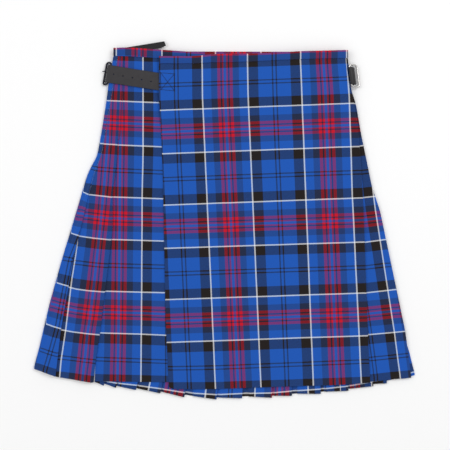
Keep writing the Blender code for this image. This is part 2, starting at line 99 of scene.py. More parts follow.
APRON_HEM = [
    (-100, 604), (-95, 607.5), (-88, 608.5), (-15, 608), (82, 604.5), (146, 602.5), (207, 600.5),
    (262, 596.5),
]
BACK_HEM = [
    (-346, 571), (-322, 575), (-295, 583), (-259, 588), (-234, 594), (-218, 600), (-196, 604), (-160, 608),
    (-116, 614), (-73, 621), (-15, 625), (31, 623), (85, 622), (121, 618.5), (173, 615), (223, 609.5),
    (268, 601), (292, 596), (335, 587), (343, 583),
]
# Waistbands: place across, drop of the top edge and of the lower edge
BANDS = {
    "back": [(-200, 1.5, 14), (222, 2.5, 14)],
    "under": [(-200, -3.6, 10.8), (-175, -4.6, 11.3), (-116, -0.5, 14.4), (-15, 6.5, 20), (190, 4, 18)],
    "over": [
        (-117, 11.7, 25), (-58, 12, 25), (-15, 7.7, 22.5), (45, 7.2, 21.5), (90, 5.4, 19), (135, 2.7, 17),
        (221.5, 0.5, 14.9),
    ],
}
LOW = 2
BACK_FOLDS_AT_HEM = [
    -316, -290, -262, -218, -196, -160, -116, -73, -15, 31, 85, 121, 173, 223, 268, 292,
]


def across(pixel):
    return (pixel - PHOTO_MIDDLE) * PIXEL


def down(pixel):
    return (pixel - PHOTO_WAIST) * PIXEL


def read(table, value, column=1):
    """Straight runs between the rows of a table, whose first column is the key."""
    return float(np.interp(value, [row[0] for row in table], [row[column] for row in table]))


def soft_read(table, value, reach, column=1):
    """The same, with its corners rounded over a reach to either side."""
    return sum(read(table, value + reach * step, column) for step in (-1, -0.5, 0, 0.5, 1)) / 5


def mix(start, end, part):
    return start + (end - start) * part


def ease(value):
    value = min(max(value, 0.0), 1.0)
    return value * value * (3 - 2 * value)


print("photo height of the waist:", PHOTO_WAIST, "px, and of the hem:", round(PHOTO_WAIST + 608 / PIXEL))

# %% [markdown]
# ## Where the threads lie
# A tartan shows every pull of its cloth, so the pattern isn't projected on the kilt. Each panel has a cut
# of its own, and the tables say where some threads of that cut run: a few warp threads down the panel, and
# the white and black weft threads across it. A point's place in the cut is then read between its nearest
# threads. Warp counts start at a pair of black lines, and are in millimetres of cloth. Every panel lists
# the same weft threads in the order of their counts, and None is one that isn't read.

# %% Threads of each panel
WHITE = 46.0
HALF_SETT = 86.2
SETT = 2 * HALF_SETT

WARP = {
    "over": [
        (WHITE, [(202.1, 60), (202.6, 100), (215.5, 388)]),
        (SETT - WHITE, [(247.3, 60), (248.2, 100), (261, 388)]),
        (SETT + WHITE, [(300.3, 60), (302, 100), (313.5, 388)]),
        (2 * SETT - WHITE, [(345.8, 60), (349, 96), (350.5, 140), (352.1, 194), (361.5, 388)]),
    ],
    "under": [
        (-HALF_SETT, [
            (120.9, 60), (119.9, 95), (120.2, 117), (119.7, 211), (119, 285), (118.1, 350), (117.4, 382),
        ]),
        (-WHITE, [(143, 60), (143, 150), (142.1, 197), (141.5, 300), (140.8, 382)]),
    ],
    "middle": [
        (-HALF_SETT - 40.2, [
            (89.2, 60), (86.3, 95), (84, 147), (81, 188), (77, 246), (71.7, 280), (65.6, 330), (61, 360),
            (59.3, 380),
        ]),
        (-HALF_SETT, [
            (112.2, 60), (109.4, 95), (107.2, 147), (104, 188), (101.9, 210), (98.4, 245), (94.1, 285),
            (90.1, 317), (87.3, 335), (85.2, 357), (82.4, 380),
        ]),
    ],
    "outer": [
        (-SETT - 23.7, [(107, 60), (97, 147), (77.5, 210), (58, 258), (43, 331), (31.6, 371)]),
        (-SETT, [
            (120, 60), (110, 147), (90.5, 210), (71, 258), (65.6, 284), (56.4, 331), (50.5, 352), (44.9, 371),
        ]),
    ],
    "side": [
        (0.0, [(328, 50), (333, 80), (340.7, 125), (348, 186), (351, 210), (369.8, 331), (376, 378)]),
        (WHITE, [
            (352.5, 50), (357.5, 80), (365.2, 125), (372.5, 186), (375.5, 210), (394.3, 331), (400.5, 378),
        ]),
    ],
}
WEFT_COUNTS = [
    WHITE - SETT, -WHITE, 0.0, WHITE, SETT - WHITE, SETT + WHITE, 2 * SETT - WHITE,
    2 * SETT, 2 * SETT + 42,
]
WEFT = {
    "over": [
        [(160, 110.5), (350, 103.5)], [(161, 153.8), (355, 146.5)], None, [(163, 205.2), (360, 198)],
        [(164, 248.3), (362, 242)], [(165, 299.7), (364, 293)], [(166, 342.4), (367, 335.5)],
        [(169, 368.4), (216, 367.7), (258, 366), (364, 361.5)],
        [(168, 389), (216, 389.2), (240, 388), (285, 387), (340, 385), (368, 384)],
    ],
    "under": [
        [(106, 100.6), (158.5, 102.6)], [(120, 144.9), (161, 146.7)], [(116, 170.2), (162, 172.2)],
        [(111, 197), (163.6, 198.8)], [(109, 239.3), (165, 241)], [(104, 291.3), (165, 292.8)],
        [(100, 332.8), (140, 334), (166, 335.3)], [(96.3, 359.2), (166, 361.8)],
        [(94, 381.5), (166, 382.8)],
    ],
    "middle": [
        [(106, 100.6), (158.5, 102.6)], [(100, 143.4), (119, 144.9)], [(94.7, 168.7), (115, 170.3)],
        [(88, 194.5), (111, 197.2)], [(79, 235.9), (93, 238), (109, 239.6)],
        [(69, 287.3), (76, 289.2), (86.7, 290.7), (104, 291.9)],
        [(61.4, 329.8), (73.6, 332), (98.9, 334.6)], [(62.9, 357.9), (95, 361.7)],
        [(60, 378.4), (76, 380.3), (94.3, 383)],
    ],
    "outer": [
        [(106, 100.6), (158.5, 102.6)], [(99, 143.2), (119, 144.9)], [(89, 166.4), (94.7, 168.5)],
        [(81.4, 191.3), (88, 194.3)], [(68.5, 232.3), (79, 235.6)], [(54.9, 282.3), (68.7, 286.1)],
        [(44.5, 323.5), (60.6, 328.5)], [(38.4, 349.3), (56, 354.8)], [(33, 368.8), (55.3, 375.7)],
    ],
    "side": [
        [(335, 104.4), (356, 103.4)], [(335, 148), (351, 147.2), (364, 145.3)],
        [(335, 174.5), (352, 173.5), (370, 171.2)], [(352, 199), (364, 197.5), (376, 196.2)],
        [(363, 242.5), (385, 239.5)], [(365, 293), (396, 289.5)], [(368, 334.8), (405.3, 331.3)],
        [(370, 359), (411, 355)], [(371, 382), (392, 379.5), (412, 377.8)],
    ],
}


def between_threads(places, counts, value):
    """The count at a value, read between the nearest threads and carried on past the last ones."""
    for index in range(len(places) - 2):
        if value <= places[index + 1]:
            break
    else:
        index = len(places) - 2
    slope = (counts[index + 1] - counts[index]) / (places[index + 1] - places[index])
    return counts[index] + slope * (value - places[index])


def warp_at(panel, x, drop):
    threads = WARP[panel]
    places = [read([(down(row[1]), across(row[0])) for row in path], drop) for count, path in threads]
    return between_threads(places, [count for count, path in threads], x)


def weft_at(panel, x, drop):
    threads = [(count, path) for count, path in zip(WEFT_COUNTS, WEFT[panel]) if path]
    places = [read([(across(row[0]), down(row[1])) for row in path], x) for count, path in threads]
    return between_threads(places, [count for count, path in threads], drop)


print("warp count at the middle of the over apron:", round(warp_at("over", across(274), down(220)), 1))

# %% [markdown]
# ## Cloth from rows of points
# Every cloth piece is a grid: rows from the waist to the hem, each with the same number of points across. A
# point carries its place and its place in the cut. The cloth function gives the grid two faces and a rim,
# so that it is a closed wall, and the cut becomes a UV map in metres. Leather and metal are closed by the
# same solid function.

# %% Cloth maker
CLOTH_SHARP = 1.0
SOLID_SHARP = 0.7


def add_object(name, data):
    made = bpy.data.objects.new(name, data)
    bpy.context.scene.collection.objects.link(made)
    return made


def solid(name, vertices, faces, sharp=SOLID_SHARP, cut=None):
    """A closed piece of points in millimetres, smooth up to an angle in radians; cloth has its cut."""
    mesh = bpy.data.meshes.new(name)
    mesh.from_pydata([[value * MM for value in vertex] for vertex in vertices], [], faces)
    if cut is not None:
        loops = np.empty(len(mesh.loops), dtype=np.int32)
        mesh.loops.foreach_get("vertex_index", loops)
        mesh.uv_layers.new(name="cut").data.foreach_set("uv", (cut * MM)[loops].ravel())
    shape = bmesh.new()
    shape.from_mesh(mesh)
    bmesh.ops.recalc_face_normals(shape, faces=shape.faces)
    if shape.calc_volume(signed=True) < 0:
        bmesh.ops.reverse_faces(shape, faces=shape.faces)
    for edge in shape.edges:
        edge.smooth = edge.calc_face_angle(0) < sharp
    for face in shape.faces:
        face.smooth = True
    shape.to_mesh(mesh)
    shape.free()
    return add_object(name, mesh)


def cloth(name, rows):
    """Makes a closed cloth wall from rows of (x, drop, z, warp, weft) in millimetres."""
    grid = np.array(rows, dtype=float)
    middle = np.stack([grid[..., 0], WAIST_Y - grid[..., 1], grid[..., 2]], axis=-1)
    normal = np.cross(np.gradient(middle, axis=0), np.gradient(middle, axis=1))
    normal /= np.maximum(np.linalg.norm(normal, axis=-1, keepdims=True), 1e-9)
    sides = [(middle + normal * sign * CLOTH / 2).reshape(-1, 3) for sign in (1, -1)]
    height, width = grid.shape[:2]
    corner = (np.arange(height - 1)[:, None] * width + np.arange(width - 1)[None, :]).ravel()
    quads = np.stack([corner, corner + width, corner + width + 1, corner + 1], axis=-1)
    total = height * width
    rim = list(range(width)) + [row * width + width - 1 for row in range(1, height)]
    rim += [(height - 1) * width + column for column in range(width - 2, -1, -1)]
    rim += [row * width for row in range(height - 2, 0, -1)]
    faces = quads.tolist() + (quads[:, ::-1] + total).tolist()
    for start, end in zip(rim, rim[1:] + rim[:1]):
        faces.append([start, end, end + total, start + total])
    cut = grid[..., 3:5].reshape(-1, 2)
    return solid(name, np.vstack(sides).tolist(), faces, CLOTH_SHARP, np.vstack([cut, cut]))


def run_length(row):
    """Length of a row of points along the cloth, in millimetres."""
    return sum(math.dist(first[:3], second[:3]) for first, second in zip(row, row[1:]))


print("cloth thickness:", CLOTH, "mm")

# %% [markdown]
# ## Creases
# Pressed wool is never quite flat. Each crease is a soft ridge or trough from one place of the photo to
# another, with its own width and height, listed one by one and uneven on purpose. The list runs on to places
# that the photo hides, so that the cloth under the aprons looks lived in too.

# %% Crease table
OVERRUN = 0.1
CREASES = {
    "over": [
        ((191.3, 68), (193.4, 170), 2.6, 0.5), ((193.4, 165), (193.8, 384), 2.8, 0.6),
        ((163, 190), (176, 330), 14, 0.35), ((236, 75), (243, 230), 20, 0.4),
        ((292, 140), (305, 360), 22, -0.35), ((330, 90), (344, 250), 15, 0.45),
        ((225, 250), (232, 385), 16, 0.35), ((350, 215), (362, 380), 12, 0.4),
        ((265, 330), (270, 388), 11, 0.5),
    ],
    "under": [
        ((128, 100), (124, 260), 11, 0.3), ((150, 200), (153, 380), 13, 0.3),
        ((200, 90), (210, 300), 18, 0.3),
    ],
    "middle": [((104, 200), (86, 330), 8, 0.35), ((88, 300), (72, 380), 8, 0.4)],
    "outer": [((68, 262), (50, 340), 7, 0.45), ((52, 330), (40, 370), 6, 0.4)],
    "side": [((372, 210), (384, 330), 9, 0.4), ((386, 300), (398, 376), 8, 0.45)],
}


def crease(panel, x, drop):
    """Height of the creases of a panel at a place, in millimetres."""
    height = 0.0
    for start, end, width, rise in CREASES[panel]:
        begin = np.array([across(start[0]), down(start[1])])
        run = np.array([across(end[0]), down(end[1])]) - begin
        reach = np.array([x, drop]) - begin
        part = float(np.dot(reach, run) / np.dot(run, run))
        if -OVERRUN < part < 1 + OVERRUN:
            away = float(np.linalg.norm(reach - run * part))
            fade = ease((part + OVERRUN) * 4) * ease((1 + OVERRUN - part) * 4)
            height += rise * math.exp(-((away / width) ** 2)) * fade
    return height


def opening(drop):
    return WAIST_OPENING * (1 - ease((drop - 40) / 90))


print("creases:", sum(len(rows) for rows in CREASES.values()))

# %% [markdown]
# ## Over apron
# The flat front panel: from its free edge at the wearer's right to the fold at the wearer's left, where the
# cloth turns under. It rises over the waistband, the strap and the turned cloth by the same rule as the
# solid part.

# %% Over apron
STRAP_LIFT = 2.9
SLACK = 0.4
DEEPEST_TROUGH = -0.4
EDGE_RUN = 0.35


def depth_c(station):
    return mix(10, 22, station)


def over_lift(x, drop):
    """How far the panel rises over the waistband, its own turned edge and the strap."""
    over_band = LEVEL * (1 - ease((drop - 28) / 60))
    near_fold = LEVEL * ease((x - 130) / 80)
    over_strap = STRAP_LIFT * (1 - ease((x + 80) / 70)) * (1 - ease((drop - 95) / 55))
    return max(over_band, near_fold, over_strap) + SLACK * (1 - ease((drop - 130) / 60))


def over_height(x, drop):
    return FRONT_2_Z + opening(drop) + over_lift(x, drop) + max(crease("over", x, drop), DEEPEST_TROUGH)


def turn(x, first, last, side, steps):
    """A fold seen from its end: points from one height to the other, the outermost at x."""
    radius = abs(last - first) / 2
    points = []
    for step in range(steps + 1):
        angle = math.pi * step / steps
        height = (first + last) / 2 - (last - first) / 2 * math.cos(angle)
        points.append((x + side * radius * (math.sin(angle) - 1), height))
    return points


def over_row(station):
    edge = soft_read(APRON_EDGE, mix(25, 604, station), 12)
    fold = soft_read(FOLD_C, mix(15, 596, station), 6)
    row = []

    def drop_at(x):
        return mix(read(BANDS["over"], x, LOW) + GAP, soft_read(APRON_HEM, x, 3), station)

    for part in np.linspace(0, 1, 108):
        x = mix(edge, fold - 4, part)
        drop = drop_at(x)
        row.append((x, drop, over_height(x, drop), warp_at("over", x, drop), weft_at("over", x, drop)))
    drop = drop_at(fold)
    top = row[-1][2]
    end = FRONT_2_Z + opening(drop)
    cut = warp_at("over", fold, drop)
    for step, (x, z) in enumerate(turn(fold, top, end, 1, 6)):
        row.append((x, drop_at(x), z, cut + EDGE_RUN * (step - 3), weft_at("over", x, drop_at(x))))
    for part in (0.3, 0.6, 1):
        x = mix(row[-1][0] if part == 0.3 else fold, fold - depth_c(station) + 1, part)
        row.append((x, drop_at(x), end, cut + fold - x + 1, weft_at("over", x, drop_at(x))))
    return row


over_apron = cloth("over_apron_cloth", [over_row(station) for station in np.linspace(0, 1, 110)])
print("over apron:", len(over_apron.data.polygons), "faces, hem", round(run_length(over_row(1))), "mm")

# %% [markdown]
# ## Pleated length
# One long cloth makes the two hip pleats at the left of the photo, goes round the left side, lies in knife
# pleats on the surface, and comes round the right side to the panel under the over apron's fold. Above the
# end of their stitching the hip pleats lie flush with the front. Below it they open, so the section changes
# from flat to folded on the way down.

# %% Pleated length
FLAT_HALF = 1.5
UPRIGHT_HALF = 0.8
FOLD_POINTS = 14
HIDDEN_POINTS = 11
PLEAT_CLEARANCE = 7.5
PLEAT_DEPTH_LIMIT = 38
RAMP = 4.2
RAMP_CLEARANCE = 1.2
RAMP_EASE = 0.8
HEM_STEP = 4.5
WHITE_ABOVE_HEM = 6.3
WEFT_SPREAD = 0.978
SIDE_RUN = 0.55


def fold_place(table, station, hem):
    return soft_read(table, mix(14, hem, station), 6)


def hip_fold(table, station, hem, depth, flat_end, upright_end, open_end):
    """A fold of the hip as (x, height): sewn flat, then upright, then lying open."""
    x = fold_place(table, station, hem)
    parts = [index / (FOLD_POINTS - 1) for index in range(FOLD_POINTS)]
    flat = [(x + FLAT_HALF * (1 - 2 * part), 0.0) for part in parts]
    upright = [(x + UPRIGHT_HALF * (1 - 2 * part), 2 * LEVEL * part) for part in parts]
    folded = turn(x - depth, 0.0, LEVEL, -1, 6) + turn(x, LEVEL, 2 * LEVEL, 1, 6)
    if station <= flat_end:
        return flat
    if station <= upright_end:
        part = (station - flat_end) / (upright_end - flat_end)
        start, end = flat, upright
    else:
        part = min((station - upright_end) / (open_end - upright_end), 1.0)
        start, end = upright, folded
    return [(mix(a[0], b[0], part), mix(a[1], b[1], part)) for a, b in zip(start, end)]


def fold_a(station):
    depth = mix(12, 24, ease((station - 0.29) / 0.5))
    return hip_fold(FOLD_A, station, 597, depth, 0.215, 0.255, 0.29)


def fold_b(station):
    depth = mix(2.5, 20, max(station - 0.44, 0) / 0.56)
    return hip_fold(FOLD_B, station, 585, depth, 0.37, 0.4, 0.44)


def seam_a(station):
    return fold_a(station)[0][0] + 4


def back_folds(station, left, right):
    """Places of the inner and outer folds of the back between the two sides."""
    count = len(BACK_FOLDS_AT_HEM)
    hem_left = LEFT_OUTLINE[-1][1]
    hem_width = RIGHT_OUTLINE[-1][1] - hem_left
    inner, outer = [], []
    for index, hem_x in enumerate(BACK_FOLDS_AT_HEM):
        at_waist = (index + 1) / (count + 1.2)
        at_hem = (hem_x - hem_left) / hem_width
        x = left + (right - left) * mix(at_waist, at_hem, station)
        pitch = x - inner[-1] if inner else x - left - 4
        inner.append(x)
        outer.append(x - min(pitch - PLEAT_CLEARANCE, PLEAT_DEPTH_LIMIT))
    return inner, outer


HEM_THREADS = [
    (36, -180), (98, -30), (148.3, WHITE), (171, HALF_SETT), (205.3, SETT - WHITE), (255, SETT + WHITE),
    (279.7, SETT + HALF_SETT), (309.2, 2 * SETT - WHITE), (355.1, 2 * SETT + HALF_SETT),
    (372, 3 * SETT - WHITE), (412, 530),
]


def hem_cut(x_at_hem):
    """Place in the cut of the inner side of the back pleats, which shows as a strip below the front."""
    return read([(across(row[0]), row[1]) for row in HEM_THREADS], x_at_hem)


def back_drop(x, station, part):
    hem = read(BACK_HEM, x) + HEM_STEP * (part - 0.5)
    return mix(read(BANDS["back"], x, LOW) + GAP, hem, station)


def back_weft(x, drop, white=2 * SETT + WHITE):
    """Weft count of the back, whose last white line lies a little above the hem."""
    return white + (drop - read(BACK_HEM, x) + WHITE_ABOVE_HEM) / WEFT_SPREAD


def front_drop(x, station, band="under"):
    return mix(read(BANDS[band], x, LOW) + GAP, read(FRONT_HEM, x), station)


def pleated_row(station):
    """One section as [x, drop, z, warp or None, weft]; the missing warps are filled along the cloth."""
    left = fold_place(LEFT_OUTLINE, station, 571) + SOLID_CLOTH / 2
    right = fold_place(RIGHT_OUTLINE, station, 588) - SOLID_CLOTH / 2
    front = FRONT_Z + opening(mix(14, 597, station))
    row = []

    def front_point(x, height, panel, show=True):
        drop = front_drop(x, station)
        warp = warp_at(panel, x, drop) if show else None
        rise = crease(panel, x, drop) if show else 0.0
        row.append([x, drop, front + height + rise, warp, weft_at(panel, x, drop)])

    def fold_and_panel(fold, end_x, panel, parts, slack, reach):
        """A hip fold, and the cloth that comes down from it and lies flat as far as end_x."""
        for index, (x, height) in enumerate(fold):
            front_point(x, height, panel, index >= HIDDEN_POINTS)
        lowest = min(x for x, height in fold)
        for part in parts:
            x = mix(fold[-1][0], end_x, part)
            front_point(x, fold[-1][1] * (1 - ease((lowest - slack - x) / reach)), panel)

    first, second = fold_a(station), fold_b(station)
    front_point(seam_a(station) - GAP, 0, "under")
    fold_and_panel(first, second[0][0], "middle", np.linspace(0.04, 0.96, 22), 1.5, 8.0)
    side_turn = left + (front - OUTER_Z) / 2
    end_x = min(side_turn + 0.5, second[-1][0] - 0.2)
    fold_and_panel(second, end_x, "outer", np.linspace(0.08, 0.92, 12), 0.5, 5.0)
    start_u = warp_at("outer", end_x, front_drop(end_x, station))
    for step, (x, z) in enumerate(turn(left, front, OUTER_Z, -1, 10)):
        part = max(z - INNER_Z - LEVEL / 2, 0.0) / (front - INNER_Z - LEVEL / 2)
        drop = mix(back_drop(x, station, 0.5), front_drop(x, station), part)
        weft = mix(back_weft(x, drop), weft_at("outer", x, drop), part)
        row.append([x, drop, z, start_u - SIDE_RUN * step, weft])

    at_hem = back_folds(1.0, LEFT_OUTLINE[-1][1] + 0.5, RIGHT_OUTLINE[-1][1] - 0.5)
    for inner_x, outer_x, hem_inner, hem_outer in zip(*back_folds(station, left, right), *at_hem):
        end = outer_x - RAMP_CLEARANCE
        hem_end = hem_outer - RAMP_CLEARANCE
        run = [
            (end - RAMP, 0.3, OUTER_Z, hem_cut(hem_end - RAMP)),
            (end - RAMP + RAMP_EASE, 0.3, mix(OUTER_Z, INNER_Z, 0.1), None),
            (end - RAMP_EASE, 0.35, mix(OUTER_Z, INNER_Z, 0.9), None),
            (end, 0.35, INNER_Z, hem_cut(hem_end)),
        ]
        for part in (0.25, 0.5, 0.75):
            warp = hem_cut(mix(hem_end, hem_inner, part))
            run.append((mix(end, inner_x - 1, part), mix(0.35, 1, part), INNER_Z, warp))
        run += [(x, 1, z, hem_cut(hem_inner) if z > INNER_Z - 0.01 else None)
                for x, z in turn(inner_x, INNER_Z, MIDDLE_Z, 1, 4)]
        run += [(x, 0, z, None) for x, z in turn(outer_x, MIDDLE_Z, OUTER_Z, -1, 4)]
        for x, part, z, warp in run:
            drop = back_drop(x, station, part)
            row.append([x, drop, z, warp, back_weft(x, drop, 3 * SETT - WHITE)])

    under = fold_place(RIGHT_UNDER_PLEAT, station, 583) - SOLID_CLOTH / 2
    tuck = mix(9, 22, station)
    for x, z in turn(under, OUTER_Z, MIDDLE_Z, 1, 5) + turn(under - tuck, MIDDLE_Z, INNER_Z, -1, 4):
        drop = back_drop(x, station, 0.5)
        row.append([x, drop, z, HEM_THREADS[-1][1] + (x - under), back_weft(x, drop)])
    side_end = fold_place(FOLD_C, station, 595) - depth_c(station)
    side = [(x, z, 0) for x, z in turn(right, INNER_Z, front, 1, 8)]
    for part in np.linspace(0.06, 1, 18):
        side.append((mix(side[-1][0] if part < 0.07 else right - 1.5, side_end, part), front, 1))
    for x, z, creased in side:
        drop = front_drop(x, station, "over")
        rise = crease("side", x, drop) * creased
        row.append([x, drop, z + rise, warp_at("side", x, drop), weft_at("side", x, drop)])
    return fill_warp(row)


def fill_warp(row):
    """Spreads the warp count evenly along the cloth between the points where it is known."""
    known = [index for index, point in enumerate(row) if point[3] is not None]
    for first, last in zip(known, known[1:]):
        total = run_length(row[first:last + 1])
        for index in range(first + 1, last):
            row[index][3] = mix(row[first][3], row[last][3], run_length(row[first:index + 1]) / total)
    return row


def fine_stations():
    """Close rows where the hip pleats open, wider ones elsewhere."""
    spans = [np.linspace(0, 0.2, 14), np.linspace(0.2, 0.46, 30), np.linspace(0.46, 1, 46)]
    return np.unique(np.concatenate(spans))


pleated = cloth("pleated_cloth", [pleated_row(station) for station in fine_stations()])
runs = [round(run_length(pleated_row(station))) for station in (0, 1)]
print("pleated length:", len(pleated.data.polygons), "faces,", runs, "mm round the waist and the hem")

# %% [markdown]
# ## Under apron
# The flat inner panel. Only its left part shows, between the first hip pleat and the over apron's edge.

# %% Under apron


def under_row(station):
    row = []
    for x in np.linspace(seam_a(station), 190 + 8 * station, 90):
        drop = front_drop(x, station)
        rise = max(crease("under", x, drop), 0) * ease((-118 - x) / 8)
        z = FRONT_Z + opening(mix(14, 597, station)) + rise
        row.append((x, drop, z, warp_at("under", x, drop), weft_at("under", x, drop)))
    return row


under_apron = cloth("under_apron_cloth", [under_row(station) for station in fine_stations()])
print("under apron:", len(under_apron.data.polygons), "faces")

# %% [markdown]
# ## Waistbands
# Narrow strips of the same cloth, folded over the top edges. A red line of the pattern runs along the top.

# %% Waistbands
BAND_RED = 76.0
BAND_BULGE = 0.15
BAND_TUCK = 0.25
BAND_WARP = [
    (116.5, WHITE - SETT), (162, -WHITE), (215.5, WHITE), (261, SETT - WHITE), (315, SETT + WHITE),
    (360, 2 * SETT - WHITE),
]


def band(name, kind, first, last, low_z, high_z, lift=None):
    """A strip of cloth folded over a top edge, from its lower front edge round to its lower back edge."""
    rows = []
    for x in np.linspace(first, last, max(int((last - first) / 4), 40)):
        top = soft_read(BANDS[kind], x, 8)
        low = soft_read(BANDS[kind], x, 8, LOW)
        extra = lift(x, low) if lift else 0.0
        if kind == "over":
            warp = warp_at("over", x, down(64))
        else:
            warp = between_threads([across(row[0]) for row in BAND_WARP], [row[1] for row in BAND_WARP], x)
        half_way = mix(low, top, 0.5)
        points = [(low, high_z - BAND_TUCK), (low - 0.6, high_z), (half_way, high_z + BAND_BULGE)]
        points += [(-y, z) for y, z in turn(-top - SOLID_CLOTH / 2, high_z, low_z, 1, 8)]
        points += [(half_way, low_z), (low, low_z)]
        rows.append([
            (x, drop, z + extra, warp, BAND_RED - (drop - top if index < 8 else top - drop))
            for index, (drop, z) in enumerate(points)
        ])
    return cloth(name, rows)


lifted = FRONT_Z + WAIST_OPENING
over_z = FRONT_2_Z + WAIST_OPENING
band_back = band("band_back_cloth", "back", -198.5, 221, OUTER_Z, INNER_Z)
band_under = band("band_under_cloth", "under", -199, 190, lifted, lifted + LEVEL)
band_over = band("band_over_cloth", "over", -116.8, 221, over_z, over_z + LEVEL, over_lift)
print("bands:", [len(piece.data.polygons) for piece in (band_back, band_under, band_over)])

# %% [markdown]
# ## Leather
# The strap is swept along its route with rounded edges, and its holes are cut as real holes. The tail is a
# slanted end of the same leather, and the tab fills the other buckle.

# %% Strap, tail and tab
STRAP_WIDTH = 31.6
STRAP_THICKNESS = 2.4
TAB_WIDTH = 31
INSET = 0.2
RIGHT_LEAN = -0.18
LEFT_LEAN = 0.133
LEFT_DROP = 46.6
FIRST_HOLE = -131.6
HOLE_PITCH = 16.7
HOLE_RADIUS = 1.2


def ring_faces(rings, count, closed=False):
    """Faces between rings of points, and caps on the first and last unless the rings run round."""
    faces = []
    for ring in range(rings if closed else rings - 1):
        first, second = ring * count, (ring + 1) % rings * count
        for step in range(count):
            after = (step + 1) % count
            faces.append([first + step, first + after, second + after, second + step])
    if not closed:
        faces += [list(range(count)), list(range((rings - 1) * count, rings * count))]
    return faces


def strip(name, route, middle_drop, width, lean):
    """A leather strip with rounded edges, swept along a route of (x, z) whose middle has a given drop."""
    path = np.array(route, dtype=float)
    run = np.gradient(path, axis=0)
    side = np.stack([-run[:, 1], run[:, 0]], axis=-1)
    side /= np.linalg.norm(side, axis=-1, keepdims=True)
    if side[0, 1] < 0:
        side = -side
    section = []
    for sign in (1, -1):
        for step in range(7):
            angle = math.pi * step / 6
            section.append((sign * (width / 2 - 1 + math.sin(angle)), sign * math.cos(angle)))
    vertices = []
    for (x, z), away in zip(path, side):
        for y, height in section:
            offset = away * height * (STRAP_THICKNESS - INSET) / 2
            vertices.append((x + offset[0] - lean(x) * y, WAIST_Y - middle_drop(x) + y, z + offset[1]))
    return solid(name, vertices, ring_faces(len(path), len(section)))


def strap_drop(x):
    """Drop of the middle of the strap, which slants a little."""
    return mix(42.9, 57.0, (x + 209.7) / 91.1)


def curve_through(stops, steps):
    """Points of a smooth curve through the stops."""
    points = [stops[0]]
    padded = [stops[0]] + list(stops) + [stops[-1]]
    for near in zip(padded, padded[1:], padded[2:], padded[3:]):
        for step in range(1, steps + 1):
            t = step / steps
            points.append(tuple(
                b + t / 2 * (c - a + t * (2 * a - 5 * b + 4 * c - d + t * (3 * b - a - 3 * c + d)))
                for a, b, c, d in zip(*near)
            ))
    return points


def baked(piece):
    """The mesh of a piece as its modifiers leave it."""
    bpy.context.view_layer.update()
    return bpy.data.meshes.new_from_object(piece.evaluated_get(bpy.context.evaluated_depsgraph_get()))


def cut_holes(piece, places):
    for x, drop in places:
        bpy.ops.mesh.primitive_cylinder_add(vertices=24, radius=HOLE_RADIUS * MM, depth=0.02)
        cutter = bpy.context.object
        cutter.location = Vector((x, WAIST_Y - drop, 9)) * MM
        modifier = piece.modifiers.new("hole", "BOOLEAN")
        modifier.object = cutter
        modifier.solver = "EXACT"
        finished = baked(piece)
        piece.modifiers.remove(modifier)
        piece.data = finished
        bpy.data.objects.remove(cutter, do_unlink=True)


STRAP_ROUTE = [
    (-88, 0), (-120, 0), (-150, 0), (-180, 0), (-200, 0), (-204, 0.3), (-206.9, 0.4), (-209.4, -0.5),
    (-210.6, -2.6), (-211.0, -5.5),
]
TAB_ROUTE = [
    (223.6, 12.9), (226.4, 13.3), (229.3, 12.3), (232.2, 9.8), (233.4, 6.8), (232.2, 4.1), (229, 2.9),
    (225.9, 2.8),
]
TAIL = [
    (-108, -15.8), (-105, -8.1), (-114, -3.8), (-125, -2.3), (-137, -0.6), (-150, 7.0), (-186, 13.0),
    (-191, -0.5), (-176, -4.8),
]
strap_base = FRONT_Z + SOLID_CLOTH / 2 + GAP + STRAP_THICKNESS / 2
strap_route = [(x, strap_base + opening(strap_drop(x)) + rise) for x, rise in curve_through(STRAP_ROUTE, 5)]
strap = strip("strap_leather", strap_route, strap_drop, STRAP_WIDTH,
              lambda x: RIGHT_LEAN * ease((-180 - x) / 24))
holes = [FIRST_HOLE - HOLE_PITCH * number for number in range(5)]
cut_holes(strap, [(x, strap_drop(x) + mix(1.9, -0.7, number / 4)) for number, x in enumerate(holes)])
tab = strip("tab_leather", curve_through(TAB_ROUTE, 6), lambda x: LEFT_DROP, TAB_WIDTH, lambda x: LEFT_LEAN)


def bevelled_plate(name, outline, bottom, thickness):
    """A flat plate of a closed outline, its edges rounded by two smaller rings."""
    middle = np.mean(np.array(outline), axis=0)
    vertices = []
    for inset, height in ((0.7, 0.0), (0.15, 0.25), (0.0, 0.5), (0.15, 0.75), (0.7, 1.0)):
        for point in np.array(outline):
            away = middle - point
            x, drop = point + away / np.linalg.norm(away) * inset
            vertices.append((x, WAIST_Y - drop, bottom + thickness * height))
    return solid(name, vertices, ring_faces(5, len(outline)))


tail = bevelled_plate("tail_leather", TAIL, INNER_Z + SOLID_CLOTH / 2 + GAP, STRAP_THICKNESS)
print("strap holes:", len(holes))

# %% [markdown]
# ## Buckles
# Each buckle is a round bar bent to a frame, seen slanting at the side of the kilt. Leather goes over the
# inner bar of each and down inside it, and the dark one has the tip of its prong over the outer bar.

# %% Buckles and prongs
BAR = 1.7
BAR_SIDES = 16
PRONG = [(-213.2, 6.0), (-214.8, 6.0), (-216.6, 5.4), (-218.0, 4.3), (-218.8, 3.5)]
PRONG_DROP = 38.2
PRONG_RADIUS = 0.9


